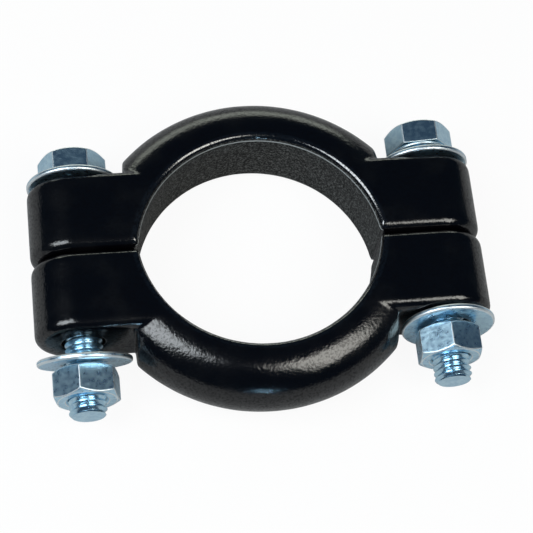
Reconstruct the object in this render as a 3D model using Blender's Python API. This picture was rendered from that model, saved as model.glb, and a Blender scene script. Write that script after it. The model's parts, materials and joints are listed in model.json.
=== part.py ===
# Two-piece cast exhaust pipe clamp with its bolts, washers and nuts, lying on its back.
# X runs from the left lugs to the right ones, Y runs along the bolts from nuts to heads,
# and Z points up out of the front face. The origin lies below the middle of the whole clamp.
import math

import bmesh
import bpy

mm = 0.001

# The casting. Each half is a ring with flat flanks and a half-round outside, and two lugs.
boreRadius = 25.9 * mm
ringWall = 11.7 * mm
thickness = 18.5 * mm
# Each bore arc is short of a half circle by this much, so that the clamp pinches the pipe.
pinch = 2.65 * mm
partingGap = 0.3 * mm
boltBeyondBore = 12.5 * mm
lugLength = 17.6 * mm
lugEndBeyondBolt = 10.1 * mm
edgeRounding = 2.2 * mm
lipRounding = 2.0 * mm
lipDepth = 1.25 * mm
cornerRounding = 1.4 * mm

# The M8 fasteners.
threadRadius = 4.0 * mm
runningGap = 0.3 * mm
boltHolePlay = 0.5 * mm
washerPlay = 0.8 * mm
washerRadius = 10.0 * mm
washerThickness = 1.2 * mm
washerEdge = 0.2 * mm
acrossFlats = 12.8 * mm
headHeight = 5.3 * mm
nutHeight = 6.5 * mm
nutMouth = 0.5 * mm
boltLength = 53.6 * mm
endChamfer = 1.0 * mm
headFaceDepth = 0.35 * mm
chamferSlope = math.tan(math.radians(30))

# The bolts hang loose. The right head stands off its washer, the left nut stands off its
# seat, both nut washers lean, and the right one hangs to one side on its bolt.
rightHeadSlack = 2.0 * mm
leftNutSlack = 1.4 * mm
leftWasherLean = math.radians(12)
rightWasherLean = math.radians(-3)
rightWasherShift = washerPlay - runningGap

# What follows from those sizes.
halfThickness = thickness / 2
ringOuterRadius = boreRadius + ringWall
halfSpacing = boreRadius + boltBeyondBore
seat = partingGap / 2 + lugLength
lugEndCentre = halfSpacing + lugEndBeyondBolt - halfThickness
pocketWall = halfSpacing - washerRadius - 3 * runningGap
rimCorner = washerThickness / 2 - washerEdge
washerReach = max(
    washerRadius * math.cos(lean) + rimCorner * math.sin(abs(lean))
    for lean in (0, leftWasherLean, rightWasherLean)
)
midHeight = max(washerReach, halfThickness)
leftEnd = halfSpacing + max(lugEndBeyondBolt, washerRadius)
rightEnd = halfSpacing + max(lugEndBeyondBolt, washerRadius + rightWasherShift)
middleX = (rightEnd - leftEnd) / 2

# How finely round forms are cut, and how far a tool runs past what it cuts or joins.
circleSteps = 96
fastenerSteps = 48
arcSteps = 20
filletSteps = 4
creaseAngle = math.radians(24)
overrun = 2 * mm
lugRoot = 6 * mm


def clearScene():
    for item in list(bpy.data.objects):
        bpy.data.objects.remove(item, do_unlink=True)


def paint(name, colour, metallic, roughness):
    material = bpy.data.materials.new(name)
    material.use_nodes = True
    shader = material.node_tree.nodes["Principled BSDF"]
    shader.inputs["Base Color"].default_value = (*colour, 1)
    shader.inputs["Metallic"].default_value = metallic
    shader.inputs["Roughness"].default_value = roughness
    return material


def blackPaint(name):
    return paint(name, (0.012, 0.012, 0.014), 0.0, 0.38)


def zinc(name):
    return paint(name, (0.62, 0.68, 0.74), 1.0, 0.3)


# A closed body through loops of the same number of points. Its two caps are flat, and its
# sides are shaded smooth except across real edges, or flat all over for a prism.
def loft(name, loops, smooth=True):
    body = bmesh.new()
    rings = [[body.verts.new(point) for point in loop] for loop in loops]
    for first, second in zip(rings, rings[1:]):
        for i in range(len(first)):
            j = (i + 1) % len(first)
            side = body.faces.new((first[i], first[j], second[j], second[i]))
            side.smooth = smooth
    body.faces.new(rings[0])
    body.faces.new(rings[-1])
    bmesh.ops.recalc_face_normals(body, faces=body.faces)
    if body.calc_volume(signed=True) < 0:
        bmesh.ops.reverse_faces(body, faces=body.faces)
    mesh = bpy.data.meshes.new(name)
    body.to_mesh(mesh)
    body.free()
    mesh.set_sharp_from_angle(angle=creaseAngle)
    result = bpy.data.objects.new(name, mesh)
    bpy.context.scene.collection.objects.link(result)
    return result


# A solid turned about the Y axis from (radius, y) pairs.
def turned(name, profile, centreX=0, steps=fastenerSteps):
    angles = [2 * math.pi * k / steps for k in range(steps)]
    loops = [
        [(centreX + r * math.cos(a), y, r * math.sin(a)) for a in angles] for r, y in profile
    ]
    return loft(name, loops)


# A solid turned about a vertical line through (0, centreY) from (radius, z) pairs.
def turnedUpright(name, profile, centreY):
    angles = [2 * math.pi * (k + 0.5) / circleSteps for k in range(circleSteps)]
    loops = [
        [(r * math.cos(a), centreY + r * math.sin(a), z) for a in angles] for r, z in profile
    ]
    return loft(name, loops)


# A prism with an upright axis, on an outline drawn for the right side of the rear half.
def upright(name, outline, side, direction):
    loops = [[(side * x, direction * y, z) for x, y in outline] for z in (-thickness, thickness)]
    return loft(name, loops)


def useTool(target, tool, operation):
    modifier = target.modifiers.new(tool.name, "BOOLEAN")
    modifier.operation = operation
    modifier.solver = "EXACT"
    modifier.object = tool
    tool.parent = target
    tool.hide_render = True
    tool.display_type = "WIRE"


def arcPoints(centre, radius, start, end, steps):
    angles = [start + (end - start) * k / steps for k in range(steps + 1)]
    return [(centre[0] + radius * math.cos(a), centre[1] + radius * math.sin(a)) for a in angles]


# The ring of one half. Its ends stop inside the lugs, which carry the parting faces.
def ringSector(name, direction):
    flankEnd = ringOuterRadius - halfThickness
    outside = arcPoints((flankEnd, 0), halfThickness, -math.pi / 2, math.pi / 2, arcSteps)
    inside = boreRadius - overrun
    section = [(inside, -halfThickness), *outside, (inside, halfThickness)]
    start = math.radians(12)
    steps = 42
    loops = []
    for k in range(steps + 1):
        angle = start + (math.pi - 2 * start) * k / steps
        x, y = math.cos(angle), math.sin(angle)
        loops.append([(r * x, direction * (r * y - pinch), z) for r, z in section])
    return loft(name, loops)


# A lug with a half-round outer end. Its parting edge and its seat edge are rounded all round.
def lugBlock(name, side, direction):
    stations = []
    for k in range(filletSteps + 1):
        angle = math.pi / 2 * k / filletSteps
        inset = edgeRounding * (1 - math.sin(angle))
        stations.append((partingGap / 2 + edgeRounding * (1 - math.cos(angle)), inset))
    stations += [(partingGap / 2 + seat - y, inset) for y, inset in reversed(stations)]
    inner = boreRadius - lugRoot
    loops = []
    for y, inset in stations:
        radius = halfThickness - inset
        end = arcPoints((lugEndCentre, 0), radius, -math.pi / 2, math.pi / 2, arcSteps)
        outline = [(inner, -radius), *end, (inner, radius)]
        loops.append([(side * x, direction * y, z) for x, z in outline])
    return loft(name, loops)


# Clears the outside of the ring beside a seat, so that the washer has room to turn.
def pocketCutter(name, side, direction):
    far = ringOuterRadius + overrun
    start = seat - 2 * edgeRounding
    outline = [(pocketWall, start), (far, start), (far, far), (pocketWall, far)]
    return upright(name, outline, side, direction)


# The bore with its rounded lips, which meet the bore wall in a crisp edge.
def boreCutter(name, direction):
    lipSpread = math.sqrt(lipRounding**2 - (lipRounding - lipDepth) ** 2)
    centre = (boreRadius + lipSpread, halfThickness - lipRounding)
    wallAngle = math.pi - math.asin((lipRounding - lipDepth) / lipRounding)
    lip = arcPoints(centre, lipRounding, wallAngle, math.pi / 2, filletSteps + 1)
    upper = [*lip, (centre[0] + overrun / 2, halfThickness + overrun)]
    profile = [(r, -z) for r, z in reversed(upper)] + upper
    return turnedUpright(name, profile, -direction * pinch)


# Rounds the upright corner between the bore wall and a parting face.
def cornerCutter(name, side, direction):
    face = partingGap / 2
    centreY = face + cornerRounding
    centreX = math.sqrt((boreRadius + cornerRounding) ** 2 - (centreY + pinch) ** 2)
    toBore = math.atan2(-(centreY + pinch), -centreX)
    rounding = arcPoints((centreX, centreY), cornerRounding, -math.pi / 2, toBore, filletSteps + 1)
    clear = centreX - cornerRounding - overrun
    below = face - overrun / 2
    outline = [*rounding, (clear, rounding[-1][1]), (clear, below), (centreX, below)]
    return upright(name, outline, side, direction)


def boltHoleCutter(name, side, direction):
    ends = sorted((-direction * overrun, direction * (seat + overrun)))
    profile = [(threadRadius + boltHolePlay, y) for y in ends]
    return turned(name, profile, side * halfSpacing)


def castHalf(name, direction):
    half = ringSector(name, direction)
    for sideName, side in (("left", -1), ("right", 1)):
        useTool(half, pocketCutter(f"{name}_{sideName}_pocket_tool", side, direction), "DIFFERENCE")
        useTool(half, lugBlock(f"{name}_{sideName}_lug_tool", side, direction), "UNION")
    useTool(half, boreCutter(f"{name}_bore_tool", direction), "DIFFERENCE")
    for sideName, side in (("left", -1), ("right", 1)):
        useTool(half, cornerCutter(f"{name}_{sideName}_corner_tool", side, direction), "DIFFERENCE")
        useTool(half, boltHoleCutter(f"{name}_{sideName}_hole_tool", side, direction), "DIFFERENCE")
    return half


# A hexagon from y = 0 to the given height, with a cone that cuts its corners at the outer
# end, and at both ends where it is a nut.
def hexagon(name, height, turn, cutBothEnds):
    flat = acrossFlats / 2
    corner = flat / math.cos(math.pi / 6)
    angles = [math.pi / 3 * k + turn for k in range(6)]
    loops = [[(corner * math.cos(a), y, corner * math.sin(a)) for a in angles] for y in (0, height)]
    body = loft(name, loops, smooth=False)
    faceRadius = flat * 0.96
    reach = corner + overrun
    drop = (reach - faceRadius) * chamferSlope
    beyond = overrun / 4
    tip = faceRadius - beyond / chamferSlope
    bottom = [(tip, -beyond), (reach, drop)] if cutBothEnds else [(reach, -beyond)]
    cone = turned(f"{name}_chamfer_tool", [*bottom, (reach, height - drop), (tip, height + beyond)])
    useTool(body, cone, "INTERSECT")
    return body


# The head starts at y = 0 and stands outwards. Below it are its bearing face and the shank.
def bolt(name, turn):
    body = hexagon(name, headHeight, turn, cutBothEnds=False)
    faceRadius = acrossFlats * 0.46
    shank = [
        (threadRadius - endChamfer, -boltLength),
        (threadRadius, -boltLength + endChamfer),
        (threadRadius, -headFaceDepth),
        (faceRadius, -headFaceDepth),
        (faceRadius, headHeight / 2),
    ]
    useTool(body, turned(f"{name}_shank_tool", shank), "UNION")
    return body


def nut(name, turn):
    body = hexagon(name, nutHeight, turn, cutBothEnds=True)
    hole = threadRadius + runningGap
    beyond = overrun / 2
    profile = [
        (hole + nutMouth + beyond, -beyond),
        (hole, nutMouth),
        (hole, nutHeight - nutMouth),
        (hole + nutMouth + beyond, nutHeight + beyond),
    ]
    useTool(body, turned(f"{name}_hole_tool", profile), "DIFFERENCE")
    return body


def washer(name):
    half = washerThickness / 2
    rim = [
        (washerRadius - washerEdge, -half),
        (washerRadius, -half + washerEdge),
        (washerRadius, half - washerEdge),
        (washerRadius - washerEdge, half),
    ]
    body = turned(name, rim, steps=72)
    hole = [(threadRadius + washerPlay, y) for y in (-washerThickness, washerThickness)]
    useTool(body, turned(f"{name}_hole_tool", hole), "DIFFERENCE")
    return body


def place(piece, material, location, parent=None):
    piece.data.materials.append(material)
    piece.location = location
    piece.parent = parent


clearScene()

# The front half carries the nuts and the rear half carries the bolts. Both halves have their
# origin on the axis of the bore, so what they carry is placed from there.
frontHalf = castHalf("front_half", -1)
rearHalf = castHalf("rear_half", 1)
place(frontHalf, blackPaint("front half paint"), (-middleX, 0, midHeight))
place(rearHalf, blackPaint("rear half paint"), (0, 0, 0), frontHalf)

fasteners = (
    ("left", -1, 0, leftNutSlack, leftWasherLean, 0, math.radians(3), math.radians(-19)),
    ("right", 1, rightHeadSlack, 0, rightWasherLean, rightWasherShift, math.radians(7), math.radians(33)),
)
for sideName, side, headSlack, nutSlack, lean, shift, headTurn, nutTurn in fasteners:
    x = side * halfSpacing
    headWasherY = seat + runningGap + washerThickness / 2
    headWasher = washer(f"{sideName}_head_washer")
    place(headWasher, zinc(f"{sideName} head washer zinc"), (x, headWasherY, 0), rearHalf)
    headY = headWasherY + washerThickness / 2 + runningGap + headSlack + headFaceDepth
    boltPiece = bolt(f"{sideName}_bolt", headTurn)
    place(boltPiece, zinc(f"{sideName} bolt zinc"), (x, headY, 0), rearHalf)

    # A leaning washer touches the rounded edge of the seat on one side and the nut on the other.
    halfDepth = washerThickness / 2 / math.cos(lean) + runningGap
    seatReach = halfThickness - 0.75 * edgeRounding
    nutWasherY = -(seat + nutSlack + halfDepth + seatReach * abs(math.tan(lean)))
    nutWasher = washer(f"{sideName}_nut_washer")
    place(nutWasher, zinc(f"{sideName} nut washer zinc"), (x + shift, nutWasherY, 0), frontHalf)
    nutWasher.rotation_euler = (lean, 0, 0)
    nutY = nutWasherY - halfDepth - acrossFlats / 2 * abs(math.tan(lean)) - nutHeight
    nutPiece = nut(f"{sideName}_nut", nutTurn)
    place(nutPiece, zinc(f"{sideName} nut zinc"), (x, nutY, 0), frontHalf)
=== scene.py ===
# Studio scene of a cast exhaust pipe clamp in two halves: black paint and bright zinc fasteners.
# X runs from the left lugs to the right ones, Y from the nuts to the bolt heads, Z is up.
import json
import math

import bmesh
import bpy
from mathutils import Matrix, Vector


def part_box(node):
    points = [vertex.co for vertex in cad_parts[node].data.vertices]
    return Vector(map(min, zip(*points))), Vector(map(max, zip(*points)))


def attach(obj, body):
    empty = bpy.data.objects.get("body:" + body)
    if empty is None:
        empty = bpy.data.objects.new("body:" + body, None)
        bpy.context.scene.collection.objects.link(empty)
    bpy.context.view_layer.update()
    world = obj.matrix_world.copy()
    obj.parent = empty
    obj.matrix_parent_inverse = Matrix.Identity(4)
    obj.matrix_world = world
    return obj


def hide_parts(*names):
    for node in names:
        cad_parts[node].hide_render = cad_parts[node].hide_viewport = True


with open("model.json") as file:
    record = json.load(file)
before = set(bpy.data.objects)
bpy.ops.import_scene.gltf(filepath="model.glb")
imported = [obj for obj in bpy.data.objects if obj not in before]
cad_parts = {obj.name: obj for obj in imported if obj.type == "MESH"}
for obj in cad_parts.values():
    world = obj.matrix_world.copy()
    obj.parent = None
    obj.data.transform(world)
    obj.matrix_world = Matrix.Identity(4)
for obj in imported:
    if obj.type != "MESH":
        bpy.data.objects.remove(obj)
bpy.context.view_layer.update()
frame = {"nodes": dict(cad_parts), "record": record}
mm = 0.001
shortest = 0.008 * mm  # shorter edges are merged away
samePlace = 1e-7  # vertices this close are one
nearlySame = 1e-6  # the same, after the many steps of a helix
print("frame loaded:", ", ".join(sorted(frame["nodes"])))


def middleOf(node):
    low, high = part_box(node)
    return (low + high) / 2


# Both castings share the axis of the bore and the parting plane, which the frame gives.
front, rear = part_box("front_half"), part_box("rear_half")
boreAxis = Vector((
    (front[0].x + front[1].x) / 2, (front[1].y + rear[0].y) / 2, middleOf("rear_half").z,
))


# Mesh helpers

def asObject(name, bm):
    mesh = bpy.data.meshes.new(name)
    bm.to_mesh(mesh)
    bm.free()
    made = bpy.data.objects.new(name, mesh)
    bpy.context.scene.collection.objects.link(made)
    return made


def applied(piece):
    graph = bpy.context.evaluated_depsgraph_get()
    graph.update()
    mesh = bpy.data.meshes.new_from_object(piece.evaluated_get(graph))
    piece.modifiers.clear()
    piece.data = mesh
    return piece


def combine(body, tool, operation):
    cut = body.modifiers.new(tool.name, "BOOLEAN")
    cut.operation = operation
    cut.solver = "MANIFOLD"
    cut.object = tool
    applied(body)
    bpy.data.objects.remove(tool, do_unlink=True)
    return body


# Merges the slivers that a union leaves, so that the mesh stays one closed body.
def welded(piece):
    bm = bmesh.new()
    bm.from_mesh(piece.data)
    bmesh.ops.remove_doubles(bm, verts=bm.verts, dist=shortest)
    bm.to_mesh(piece.data)
    bm.free()
    return piece


def outwards(bm):
    bmesh.ops.recalc_face_normals(bm, faces=bm.faces)
    if bm.calc_volume(signed=True) < 0:
        bmesh.ops.reverse_faces(bm, faces=bm.faces)
    return bm


def chain(bm, points):
    verts = [bm.verts.new(point) for point in points]
    edges = [bm.edges.new(pair) for pair in zip(verts, verts[1:])]
    return verts, edges


def faceOf(bm, points):
    verts, _ = chain(bm, points)
    return bm.faces.new(verts)


def arcPoints(centre, radius, start, end, steps):
    angles = [start + (end - start) * k / steps for k in range(steps + 1)]
    return [(centre[0] + radius * math.cos(a), centre[1] + radius * math.sin(a)) for a in angles]


def extruded(bm, face, travel):
    grown = bmesh.ops.extrude_face_region(bm, geom=[face], use_keep_orig=True)
    moved = [item for item in grown["geom"] if isinstance(item, bmesh.types.BMVert)]
    bmesh.ops.translate(bm, verts=moved, vec=travel)
    return outwards(bm)


def turned(name, points, steps):
    bm = bmesh.new()
    verts, edges = chain(bm, points)
    bmesh.ops.spin(
        bm, geom=verts + edges, cent=(0, 0, 0), axis=(0, 0, 1), angle=2 * math.pi, steps=steps,
        use_merge=True,
    )
    bmesh.ops.remove_doubles(bm, verts=bm.verts, dist=samePlace)
    bmesh.ops.holes_fill(bm, edges=bm.edges, sides=0)
    return asObject(name, outwards(bm))


# Castings. The rear half is made about the bore axis, and the front half is its mirror image.

casting = {
    "boreRadius": 25.9 * mm,
    "ringWall": 11.7 * mm,
    "thickness": 18.5 * mm,
    "pinch": 2.65 * mm,  # from the parting plane to the centre of the bore's arc
    "partingGap": 0.3 * mm,
    "boltBeyondBore": 12.5 * mm,
    "lugLength": 17.6 * mm,
    "lugEndBeyondBolt": 10.1 * mm,
    "lugRoot": 6 * mm,  # how far a lug's blank reaches into the bore
    "edgeRounding": 2.2 * mm,
    "lipRounding": 0.9 * mm,
    "lipDepth": 1.3 * mm,
    "lipTilt": math.radians(28),
    "cornerRounding": 1.4 * mm,
    "pocketWall": 27.5 * mm,
    "pocketDepth": 4 * mm,
    "boltHoleRadius": 4.5 * mm,
    "overcut": 2 * mm,  # how far a blank or a cutter passes the faces that it meets
    "cornerOvercut": 3 * mm,
    "ringStart": math.radians(12),
    "ringSteps": 150,
    "halfRoundSteps": 56,
    "boreSteps": 240,
    "roundingSteps": 14,
    "holeSteps": 64,
    "edgeSegments": 8,
    "voxel": 0.32 * mm,
    "softening": 0.5,
    "softeningPasses": 5,
    "hollowSize": 4 * mm,
    "hollowDepth": 0.04 * mm,
}
casting["half"] = casting["thickness"] / 2
casting["outer"] = casting["boreRadius"] + casting["ringWall"]
casting["boltX"] = casting["boreRadius"] + casting["boltBeyondBore"]
casting["seat"] = casting["partingGap"] / 2 + casting["lugLength"]


# The ring's section and a lug's outline are both a bar with one half-round end.
def barOutline(inner, outer):
    half = casting["half"]
    centre = (outer - half, 0)
    end = arcPoints(centre, half, -math.pi / 2, math.pi / 2, casting["halfRoundSteps"])
    return [(inner, -half), *end, (inner, half)]


# The ring stops short of the parting plane, and the lugs fill the rest.
def ringBody():
    c = casting
    section = barOutline(c["boreRadius"] - c["overcut"], c["outer"])
    bm = bmesh.new()
    face = faceOf(bm, [(r, 0, z) for r, z in section])
    start = Matrix.Rotation(c["ringStart"], 3, "Z")
    bmesh.ops.rotate(bm, verts=bm.verts, cent=(0, 0, 0), matrix=start)
    bmesh.ops.spin(
        bm, geom=[face], cent=(0, 0, 0), axis=(0, 0, 1), angle=math.pi - 2 * c["ringStart"],
        steps=c["ringSteps"],
    )
    bmesh.ops.translate(bm, verts=bm.verts, vec=(0, -c["pinch"], 0))
    return asObject("ring", outwards(bm))


# A lug with its rims rounded at the seat and at the parting face.
def lug(side):
    c = casting
    outline = barOutline(c["boreRadius"] - c["lugRoot"], c["boltX"] + c["lugEndBeyondBolt"])
    bm = bmesh.new()
    face = faceOf(bm, [(side * x, c["partingGap"] / 2, z) for x, z in outline])
    extruded(bm, face, (0, c["lugLength"], 0))
    rims = [
        edge for edge in bm.edges
        if abs(edge.verts[0].co.y - edge.verts[1].co.y) < nearlySame
    ]
    bmesh.ops.bevel(
        bm, geom=rims, offset=c["edgeRounding"], segments=c["edgeSegments"], profile=0.5,
        affect="EDGES", material=-1,
    )
    return asObject("lug", outwards(bm))


# Cuts the ring back beside a lug, which sinks the washer's seat into it.
def pocket(side):
    c = casting
    low = Vector((c["pocketWall"], c["seat"] - c["pocketDepth"], -c["thickness"]))
    high = Vector((c["outer"] + c["overcut"], c["outer"], c["thickness"]))
    bm = bmesh.new()
    bmesh.ops.create_cube(bm, size=1)
    bmesh.ops.scale(bm, verts=bm.verts, vec=high - low)
    bmesh.ops.translate(bm, verts=bm.verts, vec=(low + high) / 2)
    bmesh.ops.scale(bm, verts=bm.verts, vec=(side, 1, 1))
    return asObject("pocket", outwards(bm))


# The bore with the lip that both flanks of the casting have: a steep cone, rounded at its top.
def boreTool():
    c = casting
    rounding, tilt = c["lipRounding"], c["lipTilt"]
    coneHeight = c["lipDepth"] - rounding * (1 - math.sin(tilt))
    coneTop = c["boreRadius"] + coneHeight * math.tan(tilt)
    centre = (coneTop + rounding * math.cos(tilt), c["half"] - rounding)
    lip = arcPoints(centre, rounding, math.pi - tilt, math.pi / 2, c["roundingSteps"])
    upper = [
        (c["boreRadius"], c["half"] - c["lipDepth"]), *lip,
        (centre[0] + c["overcut"] / 2, c["half"] + c["overcut"]),
    ]
    profile = [(r, -z) for r, z in reversed(upper)] + upper
    tool = turned("bore", [(r, 0, z) for r, z in profile], c["boreSteps"])
    tool.data.transform(Matrix.Translation((0, -c["pinch"], 0)))
    return tool


# Rounds the corner between the bore and the parting face.
def cornerTool(side):
    c = casting
    face = c["partingGap"] / 2
    y = face + c["cornerRounding"]
    x = math.sqrt((c["boreRadius"] + c["cornerRounding"]) ** 2 - (y + c["pinch"]) ** 2)
    toBore = math.atan2(-(y + c["pinch"]), -x)
    rounding = arcPoints((x, y), c["cornerRounding"], -math.pi / 2, toBore, c["roundingSteps"])
    clear, under = x - c["cornerOvercut"], face - c["overcut"] / 2
    outline = [*rounding, (clear, rounding[-1][1]), (clear, under), (x, under)]
    bm = bmesh.new()
    bottom = faceOf(bm, [(side * px, py, -c["thickness"]) for px, py in outline])
    return asObject("corner", extruded(bm, bottom, (0, 0, 2 * c["thickness"])))


def boltHole(side):
    c = casting
    bm = bmesh.new()
    bmesh.ops.create_cone(
        bm, cap_ends=True, segments=c["holeSteps"], radius1=c["boltHoleRadius"],
        radius2=c["boltHoleRadius"], depth=2 * c["lugLength"],
    )
    upright = Matrix.Rotation(math.pi / 2, 3, "X")
    bmesh.ops.rotate(bm, verts=bm.verts, cent=(0, 0, 0), matrix=upright)
    bmesh.ops.translate(bm, verts=bm.verts, vec=(side * c["boltX"], c["lugLength"] / 2, 0))
    return asObject("hole", outwards(bm))


def rearCasting():
    body = ringBody()
    for side in (-1, 1):
        combine(body, pocket(side), "DIFFERENCE")
        combine(body, lug(side), "UNION")
    combine(body, boreTool(), "DIFFERENCE")
    for side in (-1, 1):
        combine(body, cornerTool(side), "DIFFERENCE")
        combine(body, boltHole(side), "DIFFERENCE")
    remesh = body.modifiers.new("even skin", "REMESH")
    remesh.mode = "VOXEL"
    remesh.voxel_size = casting["voxel"]
    soften = body.modifiers.new("soft edges", "SMOOTH")
    soften.factor = casting["softening"]
    soften.iterations = casting["softeningPasses"]
    return applied(body)


# Sand leaves low, wide hollows in a cast face. They only go inwards, so that the size holds.
def castFace(piece):
    clouds = bpy.data.textures.new(f"{piece.name} hollows", "CLOUDS")
    clouds.noise_scale = casting["hollowSize"]
    clouds.noise_depth = 1
    hollows = piece.modifiers.new("hollows", "DISPLACE")
    hollows.texture = clouds
    hollows.texture_coords = "LOCAL"
    hollows.strength = casting["hollowDepth"]
    hollows.mid_level = 1.0
    return applied(piece)


shape = rearCasting()
halves = {}
for name, direction in (("rear_half", 1), ("front_half", -1)):
    half = bpy.data.objects.new(f"{name}_casting", shape.data.copy())
    bpy.context.scene.collection.objects.link(half)
    half.data.transform(Matrix.Diagonal((1, direction, 1, 1)))
    if direction < 0:
        half.data.flip_normals()
    half.data.transform(Matrix.Translation(boreAxis))
    castFace(half)
    half.data.shade_smooth()
    halves[name] = half
bpy.data.objects.remove(shape, do_unlink=True)
print("castings made:", len(halves["rear_half"].data.polygons), "faces each")


# Fasteners. Sizes across the axis are radii, apart from the width across the flats.

fastener = {
    "threadRadius": 3.98 * mm,
    "rootRadius": 3.36 * mm,
    "pitch": 1.25 * mm,
    "threadLength": 26 * mm,
    "threadOverlap": 0.4 * mm,  # how far the thread runs into the shank
    "threadLead": 1.4,  # turns made before the bolt's end, to be cut off
    "threadSteps": 64,
    "threadRounding": 0.05 * mm,
    "threadBends": (0, 0.08, 0.42, 0.46, 0.54, 0.58, 0.92, 1),  # in pitches, root to root
    "shankRadius": 3.9 * mm,
    "shankRounding": 0.3 * mm,
    "shankEndInset": 0.1 * mm,
    "shankEndLength": 0.5 * mm,
    "acrossFlats": 12.8 * mm,
    "headHeight": 5.3 * mm,
    "headFaceDepth": 0.35 * mm,
    "headFaceRadius": 5.9 * mm,
    "nutHeight": 6.5 * mm,
    "nutBoreRadius": 4.06 * mm,
    "nutMouth": 0.5 * mm,
    "endChamfer": 0.55 * mm,
    "chamferAngle": math.radians(30),
    "faceShare": 0.96,  # of the flats' distance, inside which the end face is flat
    "hexSteps": 96,
    "edgeBreak": 0.2 * mm,
    "edgeSegments": 3,
    "edgeStrip": 0.35 * mm,  # a narrow row of faces beside a chamfer keeps the flats' shading flat
    "brokenFrom": math.radians(24),
    "washerRadius": 10.0 * mm,
    "washerThickness": 1.2 * mm,
    "washerHoleRadius": 4.8 * mm,
    "washerSteps": 128,
    "washerEdge": 0.45 * mm,
    "washerSegments": 4,
    "rimFrom": 1.0,
    "creaseFrom": math.radians(38),
}
fastener["faceRadius"] = fastener["acrossFlats"] / 2 * fastener["faceShare"]


# One turn of the thread's profile, drawn along the bolt and spun into a helix.
def threadBody(end, top):
    f = fastener
    root, crest, pitch = f["rootRadius"], f["threadRadius"], f["pitch"]
    low, high = root + f["threadRounding"], crest - f["threadRounding"]
    start = end - f["threadLead"] * pitch
    rounds = math.ceil((top - start) / pitch) + 1
    radii = (root, low, high, crest, crest, high, low, root)
    profile = [(radius, start + bend * pitch, 0) for radius, bend in zip(radii, f["threadBends"])]
    bm = bmesh.new()
    verts, edges = chain(bm, profile)
    bmesh.ops.spin(
        bm, geom=verts + edges, cent=(0, 0, 0), axis=(0, 1, 0),
        dvec=(0, pitch / f["threadSteps"], 0), angle=2 * math.pi * rounds,
        steps=f["threadSteps"] * rounds,
    )
    bmesh.ops.remove_doubles(bm, verts=bm.verts, dist=nearlySame)
    for place, direction in ((end, -1), (top, 1)):
        cut = bmesh.ops.bisect_plane(
            bm, geom=bm.verts[:] + bm.edges[:] + bm.faces[:], plane_co=(0, place, 0),
            plane_no=(0, direction, 0), clear_outer=True,
        )
        rim = [item for item in cut["geom_cut"] if isinstance(item, bmesh.types.BMEdge)]
        bmesh.ops.contextual_create(bm, geom=rim)
    for vert in bm.verts:
        radius = math.hypot(vert.co.x, vert.co.z)
        limit = crest - f["endChamfer"] + (vert.co.y - end)
        if radius > limit:
            vert.co.x *= limit / radius
            vert.co.z *= limit / radius
    return asObject("thread", outwards(bm))


# The hexagon has a corner at angle zero.
def hexRadius(angle):
    away = angle % (math.pi / 3) - math.pi / 6
    return fastener["acrossFlats"] / 2 / math.cos(away)


# How far a chamfer has dropped below the end face at a radius.
def chamferDrop(radius):
    return (radius - fastener["faceRadius"]) * math.tan(fastener["chamferAngle"])


# Rounds the edges and marks their new faces, which rub bright.
def breakEdges(bm, edges, width, segments):
    rubbed = bm.faces.layers.float.new("rubbed")
    rounded = bmesh.ops.bevel(
        bm, geom=edges, offset=width, segments=segments, profile=0.5, affect="EDGES", material=-1,
        clamp_overlap=True,
    )
    for face in rounded["faces"]:
        face[rubbed] = 1.0
    bmesh.ops.remove_doubles(bm, verts=bm.verts, dist=shortest)


# Grows a skin along the bolt from ring to ring. A ring is a radius and a depth. Radius None is the
# hexagon, and the depth of a hexagon may hang on how far out the vertex lies. A closed skin ends
# on the ring it started from, and an open one is capped.
def ringSkin(rings, turn, closed):
    f = fastener
    bm = bmesh.new()
    verts = bmesh.ops.create_circle(
        bm, segments=f["hexSteps"], radius=1, cap_ends=not closed
    )["verts"]
    upright = Matrix.Rotation(math.pi / 2, 3, "X")
    bmesh.ops.rotate(bm, verts=verts, cent=(0, 0, 0), matrix=upright)
    edges = bm.edges[:]
    for index, (ringRadius, depth) in enumerate(rings):
        if index:
            grown = bmesh.ops.extrude_edge_only(bm, edges=edges)["geom"]
            verts = [item for item in grown if isinstance(item, bmesh.types.BMVert)]
            edges = [
                item for item in grown
                if isinstance(item, bmesh.types.BMEdge) and all(end in verts for end in item.verts)
            ]
        for vert in verts:
            angle = math.atan2(vert.co.z, vert.co.x)
            radius = ringRadius or hexRadius(angle)
            y = depth(radius) if callable(depth) else depth
            vert.co = (radius * math.cos(angle), y, radius * math.sin(angle))
    if closed:
        bmesh.ops.remove_doubles(bm, verts=bm.verts, dist=samePlace)
    else:
        bmesh.ops.contextual_create(bm, geom=edges)
    aboutBolt = Matrix.Rotation(-turn, 3, "Y")
    bmesh.ops.rotate(bm, verts=bm.verts, cent=(0, 0, 0), matrix=aboutBolt)
    sharp = [edge for edge in outwards(bm).edges if edge.calc_face_angle(0) > f["brokenFrom"]]
    breakEdges(bm, sharp, f["edgeBreak"], f["edgeSegments"])
    return outwards(bm)


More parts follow.
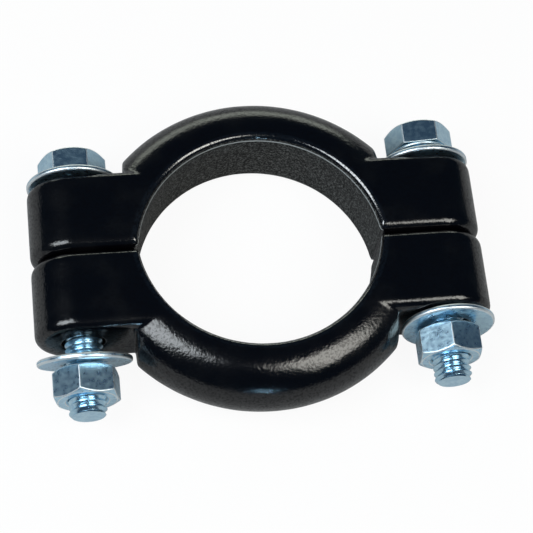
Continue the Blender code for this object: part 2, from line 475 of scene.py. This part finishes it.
# A bolt's axis runs from the end of its thread, below zero, to the outer face of its head.
def boltPiece(name, turn):
    f = fastener
    low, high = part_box(name)
    head, strip, face = f["headHeight"], f["edgeStrip"], f["faceRadius"]
    end = head - (high.y - low.y)
    joint = end + f["threadLength"]
    underFace = -f["headFaceDepth"]
    skin = ringSkin([
        (face, head),
        (None, lambda radius: head - chamferDrop(radius)),
        (None, lambda radius: head - chamferDrop(radius) - strip),
        (None, strip),
        (None, 0),
        (f["headFaceRadius"], 0),
        (f["headFaceRadius"], underFace),
        (f["shankRadius"] + f["shankRounding"], underFace),
        (f["shankRadius"], underFace - f["shankRounding"]),
        (f["shankRadius"], joint),
        (f["rootRadius"] - f["shankEndInset"], joint - f["shankEndLength"]),
    ], turn, False)
    body = asObject(f"{name}_steel", skin)
    welded(combine(body, threadBody(end, joint + f["threadOverlap"]), "UNION"))
    body.data.transform(Matrix.Translation((middleOf(name).x, high.y - head, boreAxis.z)))
    return body


def nutPiece(name, turn):
    f = fastener
    height, bore, mouth = f["nutHeight"], f["nutBoreRadius"], f["nutMouth"]
    face, strip = f["faceRadius"], f["edgeStrip"]
    skin = ringSkin([
        (face, height),
        (None, lambda radius: height - chamferDrop(radius)),
        (None, lambda radius: height - chamferDrop(radius) - strip),
        (None, lambda radius: chamferDrop(radius) + strip),
        (None, chamferDrop),
        (face, 0),
        (bore + mouth, 0),
        (bore, mouth),
        (bore, height - mouth),
        (bore + mouth, height),
        (face, height),
    ], turn, True)
    body = asObject(f"{name}_steel", skin)
    place = (middleOf(name).x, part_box(name)[0].y, boreAxis.z)
    body.data.transform(Matrix.Translation(place))
    return body


def washerPiece(name, lean):
    f = fastener
    half, hole, rim = f["washerThickness"] / 2, f["washerHoleRadius"], f["washerRadius"]
    section = [(hole, -half), (rim, -half), (rim, half), (hole, half), (hole, -half)]
    bm = bmesh.new()
    verts, edges = chain(bm, [(r, y, 0) for r, y in section])
    bmesh.ops.spin(
        bm, geom=verts + edges, cent=(0, 0, 0), axis=(0, 1, 0), angle=2 * math.pi,
        steps=f["washerSteps"], use_merge=True,
    )
    bmesh.ops.remove_doubles(bm, verts=bm.verts, dist=samePlace)
    rims = [
        edge for edge in outwards(bm).edges
        if edge.is_manifold and edge.calc_face_angle(0) > f["rimFrom"]
    ]
    breakEdges(bm, rims, f["washerEdge"], f["washerSegments"])
    body = asObject(f"{name}_steel", outwards(bm))
    body.data.transform(Matrix.Translation(middleOf(name)) @ Matrix.Rotation(lean, 4, "X"))
    return body


turns = {
    "left_bolt": math.radians(3), "right_bolt": math.radians(7),
    "left_nut": math.radians(-19), "right_nut": math.radians(33),
}
leans = {
    "left_head_washer": 0, "right_head_washer": 0,
    "left_nut_washer": math.radians(12), "right_nut_washer": math.radians(-3),
}
steel = {}
for name in ("left_bolt", "right_bolt"):
    steel[name] = boltPiece(name, turns[name])
for name in ("left_nut", "right_nut"):
    steel[name] = nutPiece(name, turns[name])
for name, lean in leans.items():
    steel[name] = washerPiece(name, lean)
for piece in steel.values():
    piece.data.shade_smooth()
    piece.data.set_sharp_from_angle(angle=fastener["creaseFrom"])
faceCounts = [f"{name} {len(piece.data.polygons)}" for name, piece in steel.items()]
print("fasteners made:", ", ".join(faceCounts))


# Materials

class Wire:
    def __init__(self, board, socket):
        self.board = board
        self.socket = socket

    def maths(self, operation, one, other=None):
        values = {0: one} if other is None else {0: one, 1: other}
        return self.board.node("Math", {"operation": operation}, values)

    def __add__(self, other):
        return self.maths("ADD", self, other)

    def __radd__(self, other):
        return self.maths("ADD", other, self)

    def __sub__(self, other):
        return self.maths("SUBTRACT", self, other)

    def __rsub__(self, other):
        return self.maths("SUBTRACT", other, self)

    def __mul__(self, other):
        return self.maths("MULTIPLY", self, other)

    def __rmul__(self, other):
        return self.maths("MULTIPLY", other, self)

    def __pow__(self, other):
        return self.maths("POWER", self, other)

    def __rpow__(self, other):
        return self.maths("POWER", other, self)

    def __abs__(self):
        return self.maths("ABSOLUTE", self)


# The node tree of a material or of the world.
class Board:
    def __init__(self, owner):
        self.owner = owner
        owner.use_nodes = True
        self.tree = owner.node_tree
        self.tree.nodes.clear()

    def node(self, kind, settings=None, inputs=None, output=0):
        made = self.tree.nodes.new("ShaderNode" + kind)
        for name, value in (settings or {}).items():
            setattr(made, name, value)
        for name, value in (inputs or {}).items():
            if isinstance(value, Wire):
                self.tree.links.new(value.socket, made.inputs[name])
            else:
                made.inputs[name].default_value = value
        return Wire(self, made.outputs[output])

    def parts(self, vector):
        first = self.node("SeparateXYZ", None, {"Vector": vector})
        return [Wire(self, socket) for socket in first.socket.node.outputs]

    def length(self, one, other):
        return (one * one + other * other) ** 0.5

    # A Mix node has its colours on sockets 6 and 7 and their mixture on output 2.
    def blend(self, factor, one, other):
        return self.node("Mix", {"data_type": "RGBA"}, {0: factor, 6: one, 7: other}, output=2)

    def layered(self, cover, under, over):
        return self.node("MixShader", None, {0: cover, 1: under, 2: over})

    def between(self, value, low, high, toLow=0.0, toHigh=1.0):
        limits = {0: value, 1: low, 2: high, 3: toLow, 4: toHigh}
        return self.node("MapRange", {"interpolation_type": "SMOOTHSTEP"}, limits)

    # Rises from 0 to 1 over a span that is given from a level.
    def past(self, value, level, span):
        return self.between(value, level + span[0], level + span[1])

    def noise(self, point, size, detail=2.0, roughness=0.5):
        inputs = {"Vector": point, "Scale": 1 / size, "Detail": detail, "Roughness": roughness}
        return self.node("TexNoise", None, inputs)

    def bump(self, height):
        return self.node("Bump", None, {"Strength": 1.0, "Distance": 1.0, "Height": height})

    def finish(self, shader, output="OutputMaterial"):
        end = self.tree.nodes.new("ShaderNode" + output)
        self.tree.links.new(shader.socket, end.inputs["Surface"])
        return self.owner


# A span is where something sets in: from and to a value of its noise, or a distance from the
# place that is named beside it.
blackPaint = {
    "colour": (0.0008, 0.0007, 0.0015, 1),
    "thin": (0.0026, 0.0025, 0.0030, 1),
    "roughness": (0.12, 0.17),
    "gloss": 0.7,
    "patches": 7 * mm,
    "thinSpan": (0.45, 0.75),
    "roughSpan": (0.3, 0.7),
    "grain": 0.60 * mm,
    "grainDepth": 0.054 * mm,
    "flankGrain": 0.35,  # share of the grain's depth that is left on the lugs' flanks
    "flankSpan": (-0.6 * mm, -0.1 * mm),  # the flank
    "lugStart": (0.9 * mm, 1.8 * mm),  # the parting plane
    "lugEnd": (-3 * mm, 0),  # the washer's seat
    "dimples": 2.2 * mm,
    "dimpleDepth": 0.018 * mm,
    "pits": 0.5 * mm,
    "pitSpan": (0.45, 0.66),
    "pitDulling": 0.45,
    "pitRoughness": 0.6,
    "pitGloss": 0.03,
    "lipHeight": (-0.9 * mm, -0.6 * mm),  # the flank
    "lipWidth": (1.4 * mm, 1.8 * mm),  # the wall of the bore
    "lipRoughness": 0.1,
    "lipIor": 1.8,
    # a pale grey line along the lip's foot: partly worn bare paint, partly a painted highlight
    "bareAndHighlight": (0.45, 0.48, 0.48, 1),
    "bareAndHighlightRoughness": 0.4,
    "highlightLineSpan": (0.1 * mm, 0.2 * mm),  # the foot of the lip
    "highlightLineReach": (0.4 * mm, 0.7 * mm),  # the wall of the bore
    "highlightLineCover": 0.8,
}

boreWall = {
    "colour": (0.0012, 0.0012, 0.0014, 1),
    "sand": (0.15, 0.155, 0.15, 1),
    "sandSpan": (0.42, 0.70),
    "grain": 0.45 * mm,
    "grainDepth": 0.16 * mm,
    "roughness": 0.6,
    "gloss": 0.2,
    "reach": (0.15 * mm, 0.45 * mm),
}


# Paint on sand-cast iron: fine grain, fainter on the lugs' flanks, shallow dimples and small dull
# pits that break the gloss. The lip has a thicker coat. A pale grey line along its foot is partly
# worn bare paint and partly a painted highlight. The bore's wall is coarser, with hardly any
# gloss.
def makeBlackPaint():
    p, w = blackPaint, boreWall
    radius, half, seat = casting["boreRadius"], casting["half"], casting["seat"]
    b = Board(bpy.data.materials.new("black paint on cast iron"))
    point = b.node("TexCoord", output="Object")
    x, y, z = b.parts(point)
    off = abs(y - boreAxis.y)
    reach = b.length(x - boreAxis.x, off + casting["pinch"])
    height = abs(z - boreAxis.z)
    bore = 1 - b.past(reach, radius, w["reach"])
    lugs = b.past(off, 0, p["lugStart"]) * (1 - b.past(off, seat, p["lugEnd"]))
    flank = b.past(height, half, p["flankSpan"]) * lugs
    patches = b.noise(point, p["patches"])
    grain = b.noise(point, p["grain"], roughness=0.6)
    dimples = b.noise(point, p["dimples"], detail=1.0)
    grainDepth = p["grainDepth"] * (1 - flank * (1 - p["flankGrain"]))
    pits = b.between(b.noise(point, p["pits"], detail=3.0, roughness=0.65), *p["pitSpan"])
    lip = b.past(height, half, p["lipHeight"]) * (1 - b.past(reach, radius, p["lipWidth"]))
    paint = b.node("BsdfPrincipled", None, {
        "Base Color": b.blend(b.between(patches, *p["thinSpan"]), p["colour"], p["thin"]),
        "Roughness": b.between(patches, *p["roughSpan"], *p["roughness"]),
        "Specular IOR Level": p["gloss"],
        "Coat Weight": lip * (1 - pits),
        "Coat Roughness": p["lipRoughness"],
        "Coat IOR": p["lipIor"],
        "Normal": b.bump(grain * grainDepth + dimples * p["dimpleDepth"]),
    })
    dull = b.node("BsdfPrincipled", None, {
        "Base Color": p["colour"],
        "Roughness": p["pitRoughness"],
        "Specular IOR Level": p["pitGloss"],
    })
    outside = b.layered(pits * p["pitDulling"], paint, dull)
    sand = b.noise(point, w["grain"], detail=3.0, roughness=0.7)
    inside = b.node("BsdfPrincipled", None, {
        "Base Color": b.blend(b.between(sand, *w["sandSpan"]), w["colour"], w["sand"]),
        "Roughness": w["roughness"],
        "Specular IOR Level": w["gloss"],
        "Normal": b.bump(sand * w["grainDepth"]),
    })
    # A pale grey line along the lip's foot, partly worn paint and partly a painted highlight.
    bareAndHighlight = b.node("BsdfPrincipled", None, {
        "Base Color": p["bareAndHighlight"], "Roughness": p["bareAndHighlightRoughness"],
    })
    foot = abs(height - (half - casting["lipDepth"]))
    wornHighlightLine = (1 - b.past(foot, 0, p["highlightLineSpan"])) * (1 - b.past(reach, radius, p["highlightLineReach"]))
    painted = b.layered(bore, outside, inside)
    return b.finish(b.layered(wornHighlightLine * p["highlightLineCover"], painted, bareAndHighlight))


zincPlate = {
    "colour": (0.61, 0.86, 1.0, 1),
    "dull": (0.50, 0.74, 0.91, 1),
    "rubbed": (0.88, 0.95, 0.98, 1),
    "roughness": (0.27, 0.33),
    "boltRoughness": (0.22, 0.27),
    "rubbedRoughness": 0.42,
    "clouds": 1.0 * mm,
    "colourSpan": (0.36, 0.64),
    "roughSpan": (0.3, 0.7),
    "grain": 0.8 * mm,
    "grainDepth": 0.026 * mm,
}


# Zinc on plain steel, slightly clouded, paler and less glossy along its rubbed edges.
def makeZinc(name, roughness):
    z = zincPlate
    b = Board(bpy.data.materials.new(name))
    point = b.node("TexCoord", output="Object")
    clouds = b.noise(point, z["clouds"], detail=1.0, roughness=0.4)
    grain = b.noise(point, z["grain"], detail=0.5, roughness=0.6)
    rubbed = b.node("Attribute", {"attribute_name": "rubbed"}, output="Fac")
    rough = b.between(clouds, *z["roughSpan"], *roughness)
    clouded = b.blend(b.between(clouds, *z["colourSpan"]), z["dull"], z["colour"])
    shader = b.node("BsdfPrincipled", None, {
        "Base Color": b.blend(rubbed, clouded, z["rubbed"]),
        "Metallic": 1.0,
        "Roughness": rough + rubbed * (z["rubbedRoughness"] - rough),
        "Normal": b.bump(grain * z["grainDepth"]),
    })
    return b.finish(shader)


paintMaterial = makeBlackPaint()
plainZinc = makeZinc("zinc plate", zincPlate["roughness"])
boltZinc = makeZinc("zinc plate of the bolts", zincPlate["boltRoughness"])
finishes = {name: paintMaterial for name in halves}
finishes.update((name, boltZinc if "bolt" in name else plainZinc) for name in steel)

bodies = frame["record"]["behaviour"]["bodies"]
bodyOf = {node: body for body, members in bodies.items() for node in members}
for name, piece in {**halves, **steel}.items():
    piece.data.materials.clear()
    piece.data.materials.append(finishes[name])
    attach(piece, bodyOf[name])
    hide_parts(name)
print("materials set")


# Floor, light and camera. Angles are in degrees, and azimuth 0 is in front, on the nuts' side.

studio = {
    "white": (1, 1, 1, 1),
    "floorSize": 6.0,
    "floorColour": (0.40, 0.40, 0.40, 1),
    "floorSeenColour": (0.84, 0.84, 0.84, 1),
    "floorSeen": 0.93,
    "floorMirrored": 0.1,
    "surroundings": (0.024, 0.043, 0.068, 1),
    "lights": {
        "cool softbox": {
            "azimuth": -77, "elevation": 54, "width": 0.33, "height": 0.42, "distance": 0.6,
            "colour": (0.90, 0.96, 1.0), "radiance": 6.8,
        },
        "warm softbox": {
            "azimuth": 50, "elevation": 55, "width": 0.29, "height": 0.36, "distance": 0.6,
            "colour": (1.0, 0.985, 0.92), "radiance": 5.6,
        },
        "back light": {
            "azimuth": 180, "elevation": 6, "width": 0.8, "height": 0.26, "distance": 0.7,
            "colour": (0.94, 1.0, 0.88), "radiance": 2.1,
        },
        "window": {
            "azimuth": 0.8, "elevation": 6, "width": 0.022, "height": 0.025, "distance": 0.7,
            "colour": (0.42, 0.74, 1.0), "radiance": 110.0,
        },
    },
}


def towards(azimuth, elevation):
    a, e = math.radians(azimuth), math.radians(elevation)
    return Vector((math.sin(a) * math.cos(e), -math.cos(a) * math.cos(e), math.sin(e)))


# The camera sees the floor nearly white, with the clamp's shadow faint on it. The light that the
# floor gives back to the clamp is a pale grey's, with a little white in what the clamp mirrors.
def makeFloor():
    bm = bmesh.new()
    bmesh.ops.create_grid(bm, x_segments=1, y_segments=1, size=studio["floorSize"] / 2)
    floor = asObject("floor", bm)
    b = Board(bpy.data.materials.new("pale floor"))
    camera = b.node("LightPath", output="Is Camera Ray")
    lit = b.node("BsdfDiffuse", None, {
        "Color": b.blend(camera, studio["floorColour"], studio["floorSeenColour"]),
    })
    glow = b.node("Emission", None, {"Color": studio["white"], "Strength": 1.0})
    mirrored = b.node("Math", {"operation": "MAXIMUM"}, {
        0: b.node("LightPath", output="Is Glossy Ray"),
        1: b.node("LightPath", output="Is Transmission Ray"),
    })
    seen = camera * studio["floorSeen"] + mirrored * studio["floorMirrored"]
    floor.data.materials.append(b.finish(b.layered(seen, lit, glow)))


# White where the camera looks past the floor, and dim and cool where the clamp mirrors it.
def makeWorld():
    b = Board(bpy.data.worlds.new("studio"))
    camera = b.node("LightPath", output="Is Camera Ray")
    colour = b.blend(camera, studio["surroundings"], studio["white"])
    sky = b.node("Background", None, {"Color": colour})
    bpy.context.scene.world = b.finish(sky, "OutputWorld")


# A lamp's watts follow from its area, so that its size doesn't change how bright it looks.
def makeLight(name, spec):
    lamp = bpy.data.lights.new(name, "AREA")
    lamp.shape = "RECTANGLE"
    lamp.size = spec["width"]
    lamp.size_y = spec["height"]
    lamp.color = spec["colour"]
    lamp.energy = spec["radiance"] * math.pi * spec["width"] * spec["height"]
    holder = bpy.data.objects.new(name, lamp)
    bpy.context.scene.collection.objects.link(holder)
    away = towards(spec["azimuth"], spec["elevation"])
    holder.location = boreAxis + away * spec["distance"]
    holder.rotation_euler = away.to_track_quat("Z", "Y").to_euler()


# Focal length and shift are in pixels of the photograph, as its side is.
photo = {
    "side": 533,
    "azimuth": -16.033,
    "elevation": 66.0,
    "roll": 11.135,
    "distance": 394.205 * mm,
    "focalPixels": 1836.856,
    "middleOffset": (-8.776, -11.685),
    "sensorWidth": 36,
    "nearest": 0.01,
}


def makeCamera():
    back = towards(photo["azimuth"], photo["elevation"])
    level = Vector((-back.y, back.x, 0)).normalized()
    upward = back.cross(level)
    roll = math.radians(photo["roll"])
    across = level * math.cos(roll) + upward * math.sin(roll)
    along = upward * math.cos(roll) - level * math.sin(roll)
    camera = bpy.data.cameras.new("camera")
    camera.sensor_width = photo["sensorWidth"]
    camera.lens = photo["focalPixels"] / photo["side"] * camera.sensor_width
    camera.shift_x = -photo["middleOffset"][0] / photo["side"]
    camera.shift_y = photo["middleOffset"][1] / photo["side"]
    camera.clip_start = photo["nearest"]
    holder = bpy.data.objects.new("camera", camera)
    turn = Matrix((across, along, back)).transposed().to_4x4()
    holder.matrix_world = Matrix.Translation(boreAxis + back * photo["distance"]) @ turn
    bpy.context.scene.collection.objects.link(holder)
    bpy.context.scene.camera = holder


makeFloor()
makeWorld()
for name, spec in studio["lights"].items():
    makeLight(name, spec)
makeCamera()
bpy.context.scene.view_settings.view_transform = "Standard"
print("studio set")
